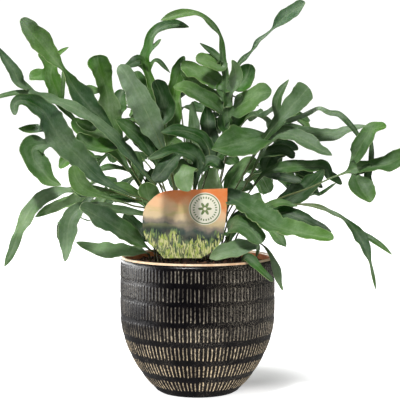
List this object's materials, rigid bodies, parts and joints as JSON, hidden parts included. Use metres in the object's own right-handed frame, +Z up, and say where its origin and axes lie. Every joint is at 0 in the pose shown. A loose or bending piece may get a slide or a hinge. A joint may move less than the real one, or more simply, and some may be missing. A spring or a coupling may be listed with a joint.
{
  "type": "potted fern",
  "caption": "Blue star fern with long-stalked lobed and undivided fronds in a round black-glazed pot with bands of upright strokes, and a printed plant tag in its soil.",
  "frame": {"origin": "centre of the pot's flat foot, on the surface that it stands on", "axes": "+Z up along the pot's axis, -Y towards the viewer and the printed side of the tag, +X to the viewer's right"},
  "size_m": [0.4008, 0.3052, 0.3875],
  "materials": {
    "black_glaze": "satin",
    "potting_soil": "matte",
    "printed_card": "satin",
    "frond_green": "satin"
  },
  "bodies": {
    "root": {"frond_01_left_crown": "frond_green", "frond_02_left_trident": "frond_green", "frond_03_left_long": "frond_green", "frond_04_left_broad": "frond_green", "frond_05_left_round": "frond_green", "frond_06_left_droop": "frond_green", "frond_07_left_low": "frond_green", "frond_08_left_blade": "frond_green", "frond_09_left_rim": "frond_green", "frond_10_crown_silver": "frond_green", "frond_11_crown_tall": "frond_green", "frond_12_crown_centre": "frond_green", "frond_13_right_whip": "frond_green", "frond_14_right_fork": "frond_green", "frond_15_right_silver": "frond_green", "frond_16_right_dark": "frond_green", "frond_17_right_far": "frond_green", "frond_18_right_dark_fork": "frond_green", "frond_19_right_front": "frond_green", "frond_20_right_wavy": "frond_green", "frond_21_right_trail": "frond_green", "frond_22_front_blade": "frond_green", "frond_23_front_drip": "frond_green", "frond_24_right_hang": "frond_green", "frond_25_centre_arch": "frond_green", "frond_26_centre_wave": "frond_green", "frond_27_tag_leaf": "frond_green", "frond_28_left_tag_leaf": "frond_green", "frond_29_left_middle": "frond_green", "frond_30_green_edge": "frond_green", "frond_31_right_under": "frond_green", "frond_32_centre_right": "frond_green", "frond_33_left_shade": "frond_green", "frond_34_left_foot": "frond_green", "frond_35_left_upright": "frond_green", "frond_36_rear_01": "frond_green", "frond_37_rear_02": "frond_green", "frond_38_rear_03": "frond_green", "frond_39_rear_04": "frond_green", "frond_40_rear_05": "frond_green", "frond_41_rear_06": "frond_green", "frond_42_rear_07": "frond_green", "frond_43_rear_08": "frond_green", "frond_44_rear_09": "frond_green", "frond_45_rear_10": "frond_green", "frond_46_rear_11": "frond_green", "plant_tag": "printed_card", "pot": "black_glaze", "soil": "potting_soil"}
  },
  "joints": []
}
